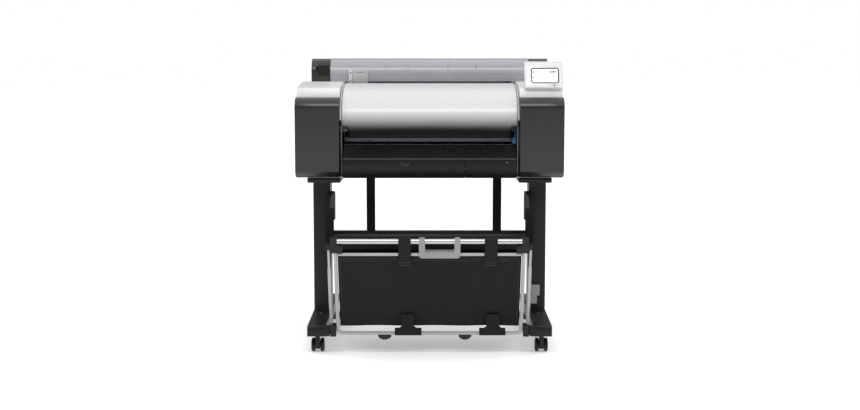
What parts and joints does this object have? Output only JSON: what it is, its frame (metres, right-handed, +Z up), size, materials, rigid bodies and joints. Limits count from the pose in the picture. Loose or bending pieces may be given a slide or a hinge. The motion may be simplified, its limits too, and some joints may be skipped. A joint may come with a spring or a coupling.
{
  "type": "large format plotter",
  "caption": "Roll-fed wide plotter on a castored T-leg stand, with hinged lid, tilting control panel, covered paper roll and a swinging fabric media basket.",
  "frame": {"origin": "on the floor under the centre of the machine's box, with the basket open", "axes": "+Z up, -Y towards the front where prints come out, +X to the right as seen from the front"},
  "size_m": [0.984, 0.8868, 1.06],
  "materials": {
    "dark_plastic": "fine moulded texture",
    "black_plastic": "satin",
    "white_plastic": "satin white",
    "grey_plastic": "satin",
    "blue_plastic": "satin",
    "smoked_plastic": "translucent smoked",
    "powder_coated_steel": "fine black powder coat",
    "grey_coated_steel": "silver grey paint",
    "bright_steel": "polished",
    "zinc_steel": "zinc plated",
    "basket_fabric": "plain woven polyester",
    "feed_rubber": "ground rubber",
    "paper": "uncoated paper",
    "screen_glass": "glossy",
    "circuit_board": "solder mask"
  },
  "bodies": {
    "machine": {"left_side_cover": "dark_plastic", "right_side_cover": "dark_plastic", "ejection_guide": "dark_plastic", "left_roll_end": "dark_plastic", "right_roll_end": "dark_plastic", "roll_cradle": "dark_plastic", "rear_cover": "dark_plastic", "left_side_arm": "black_plastic", "right_side_arm": "black_plastic", "platen": "black_plastic", "service_station": "black_plastic", "power_inlet": "black_plastic", "black_ink_tank": "black_plastic", "cyan_ink_tank": "black_plastic", "magenta_ink_tank": "black_plastic", "yellow_ink_tank": "black_plastic", "left_side_top": "white_plastic", "right_side_top": "white_plastic", "cable_clip": "grey_plastic", "maintenance_cartridge": "grey_plastic", "left_foot": "powder_coated_steel", "right_foot": "powder_coated_steel", "left_column": "powder_coated_steel", "right_column": "powder_coated_steel", "cross_stay": "powder_coated_steel", "chassis": "zinc_steel", "carriage_rail": "zinc_steel", "basket_cloth_rear": "basket_fabric", "main_board": "circuit_board"},
    "top_cover": {"top_cover": "white_plastic"},
    "roll_cover": {"roll_cover": "smoked_plastic"},
    "ink_tank_cover": {"ink_tank_cover": "dark_plastic"},
    "maintenance_cover": {"maintenance_cover": "dark_plastic"},
    "control_panel": {"control_panel": "white_plastic", "touch_screen": "screen_glass"},
    "power_button": {"power_button": "grey_plastic"},
    "release_lever": {"release_lever": "blue_plastic"},
    "carriage": {"carriage": "black_plastic"},
    "feed_roller": {"feed_roller": "feed_rubber"},
    "media_roll": {"roll_spindle": "blue_plastic", "paper_roll": "paper"},
    "basket": {"basket_tube": "grey_coated_steel", "basket_top_rod": "bright_steel", "basket_cross_rod": "grey_coated_steel", "basket_handle": "grey_plastic", "basket_cloth_front": "basket_fabric", "left_corner_block": "black_plastic", "left_side_strut": "grey_coated_steel", "left_pivot_block": "black_plastic", "right_corner_block": "black_plastic", "right_side_strut": "grey_coated_steel", "right_pivot_block": "black_plastic"},
    "front_left_caster_yoke": {"front_left_caster_yoke": "black_plastic"},
    "front_left_caster_wheels": {"front_left_caster_wheels": "black_plastic"},
    "front_right_caster_yoke": {"front_right_caster_yoke": "black_plastic"},
    "front_right_caster_wheels": {"front_right_caster_wheels": "black_plastic"},
    "rear_left_caster_yoke": {"rear_left_caster_yoke": "black_plastic"},
    "rear_left_caster_wheels": {"rear_left_caster_wheels": "black_plastic"},
    "rear_right_caster_yoke": {"rear_right_caster_yoke": "black_plastic"},
    "rear_right_caster_wheels": {"rear_right_caster_wheels": "black_plastic"}
  },
  "joints": [
    {"name": "top_cover_hinge", "type": "hinge", "parent": "machine", "child": "top_cover", "pos_m": [0, 0.12, 0.961], "axis": [1, 0, 0], "range_deg": [-70, 0]},
    {"name": "roll_cover_hinge", "type": "hinge", "parent": "machine", "child": "roll_cover", "pos_m": [0, 0.4369, 0.938], "axis": [1, 0, 0], "range_deg": [-95, 0]},
    {"name": "ink_tank_cover_hinge", "type": "hinge", "parent": "machine", "child": "ink_tank_cover", "pos_m": [-0.094, -0.121, 0.6197], "axis": [1, 0, 0], "range_deg": [0, 85]},
    {"name": "maintenance_cover_hinge", "type": "hinge", "parent": "machine", "child": "maintenance_cover", "pos_m": [0.225, -0.121, 0.6197], "axis": [1, 0, 0], "range_deg": [0, 85]},
    {"name": "control_panel_tilt", "type": "hinge", "parent": "machine", "child": "control_panel", "pos_m": [0.419, -0.0658, 0.98], "axis": [1, 0, 0], "range_deg": [-30, 0]},
    {"name": "power_button_press", "type": "slide", "parent": "control_panel", "child": "power_button", "axis": [0, 0.9063, -0.4226], "range_m": [0, 0.001], "stiffness_N_per_m": 400, "springref_m": -0.0005},
    {"name": "release_lever_turn", "type": "hinge", "parent": "machine", "child": "release_lever", "pos_m": [0.3145, -0.045, 0.825], "axis": [1, 0, 0], "range_deg": [-25, 0]},
    {"name": "carriage_travel", "type": "slide", "parent": "machine", "child": "carriage", "axis": [1, 0, 0], "range_m": [-0.765, 0]},
    {"name": "feed_roller_spin", "type": "hinge", "parent": "machine", "child": "feed_roller", "pos_m": [0, 0.102, 0.7285], "axis": [1, 0, 0], "continuous": true},
    {"name": "media_roll_spin", "type": "hinge", "parent": "machine", "child": "media_roll", "pos_m": [0, 0.322, 0.985], "axis": [1, 0, 0], "continuous": true},
    {"name": "basket_swing", "type": "hinge", "parent": "machine", "child": "basket", "pos_m": [0, -0.3014, 0.085], "axis": [1, 0, 0], "range_deg": [-20.5, 0]},
    {"name": "front_left_caster_swivel", "type": "hinge", "parent": "machine", "child": "front_left_caster_yoke", "pos_m": [-0.4048, -0.27, 0.066], "axis": [0, 0, 1], "continuous": true},
    {"name": "front_left_caster_roll", "type": "hinge", "parent": "front_left_caster_yoke", "child": "front_left_caster_wheels", "pos_m": [-0.4048, -0.252, 0.025], "axis": [1, 0, 0], "continuous": true},
    {"name": "front_right_caster_swivel", "type": "hinge", "parent": "machine", "child": "front_right_caster_yoke", "pos_m": [0.4048, -0.27, 0.066], "axis": [0, 0, 1], "continuous": true},
    {"name": "front_right_caster_roll", "type": "hinge", "parent": "front_right_caster_yoke", "child": "front_right_caster_wheels", "pos_m": [0.4048, -0.252, 0.025], "axis": [1, 0, 0], "continuous": true},
    {"name": "rear_left_caster_swivel", "type": "hinge", "parent": "machine", "child": "rear_left_caster_yoke", "pos_m": [-0.4048, 0.3215, 0.066], "axis": [0, 0, 1], "continuous": true},
    {"name": "rear_left_caster_roll", "type": "hinge", "parent": "rear_left_caster_yoke", "child": "rear_left_caster_wheels", "pos_m": [-0.4048, 0.3395, 0.025], "axis": [1, 0, 0], "continuous": true},
    {"name": "rear_right_caster_swivel", "type": "hinge", "parent": "machine", "child": "rear_right_caster_yoke", "pos_m": [0.4048, 0.3215, 0.066], "axis": [0, 0, 1], "continuous": true},
    {"name": "rear_right_caster_roll", "type": "hinge", "parent": "rear_right_caster_yoke", "child": "rear_right_caster_wheels", "pos_m": [0.4048, 0.3395, 0.025], "axis": [1, 0, 0], "continuous": true}
  ]
}
